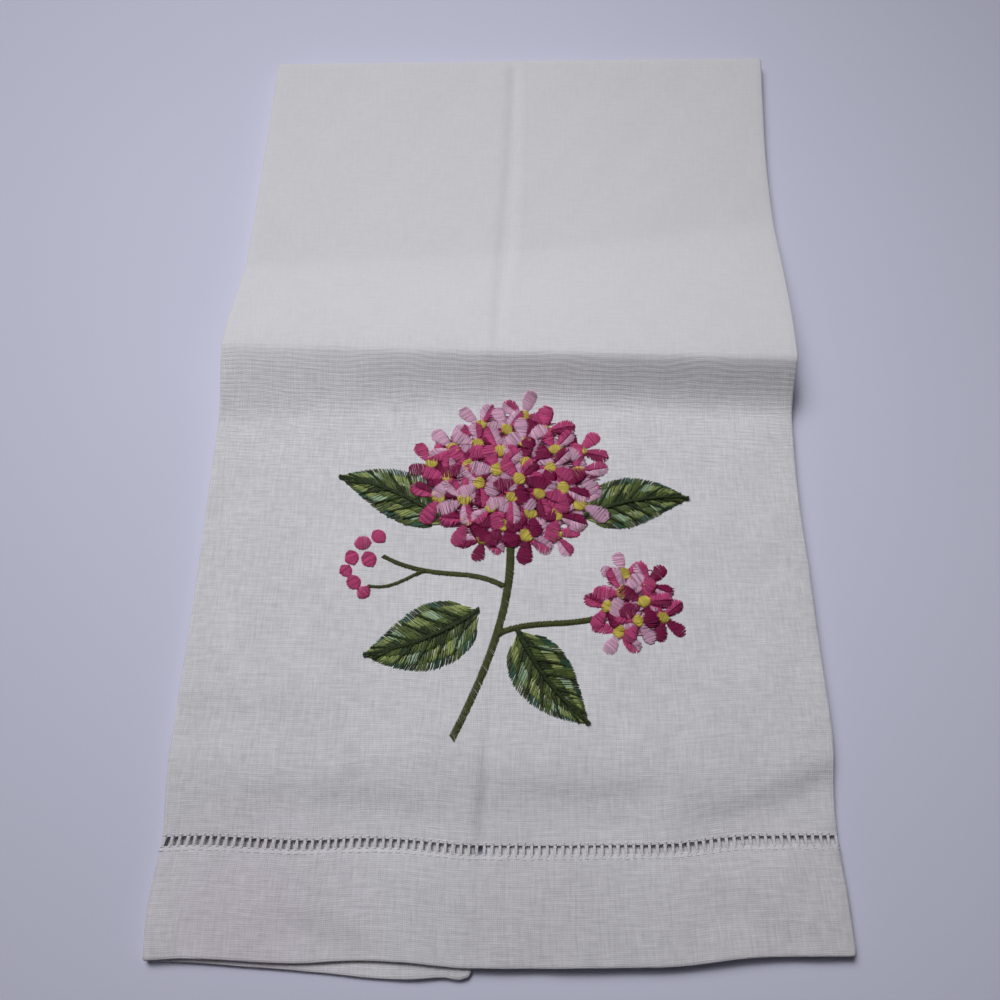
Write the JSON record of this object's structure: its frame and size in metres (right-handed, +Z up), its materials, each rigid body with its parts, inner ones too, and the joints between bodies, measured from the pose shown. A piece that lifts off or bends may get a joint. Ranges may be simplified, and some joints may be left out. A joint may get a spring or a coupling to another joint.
{
  "type": "tea towel",
  "caption": "Hemstitched linen guest or tea towel with an embroidered flower spray, folded lengthwise and in half, laid flat with a raised crosswise crease.",
  "frame": {"origin": "middle of the folded towel's box, on the surface that it lies on", "axes": "+X to the right across the folded cloth, +Y from the front hem to the top fold, +Z up"},
  "size_m": [0.186, 0.3058, 0.0145],
  "materials": {
    "linen": "matt off-white plain-weave linen",
    "sewing_thread": "soft white hemstitching thread",
    "embroidery_thread": "silky machine embroidery thread, pinks, yellow and greens"
  },
  "bodies": {
    "root": {"towel": "linen"}
  },
  "joints": []
}
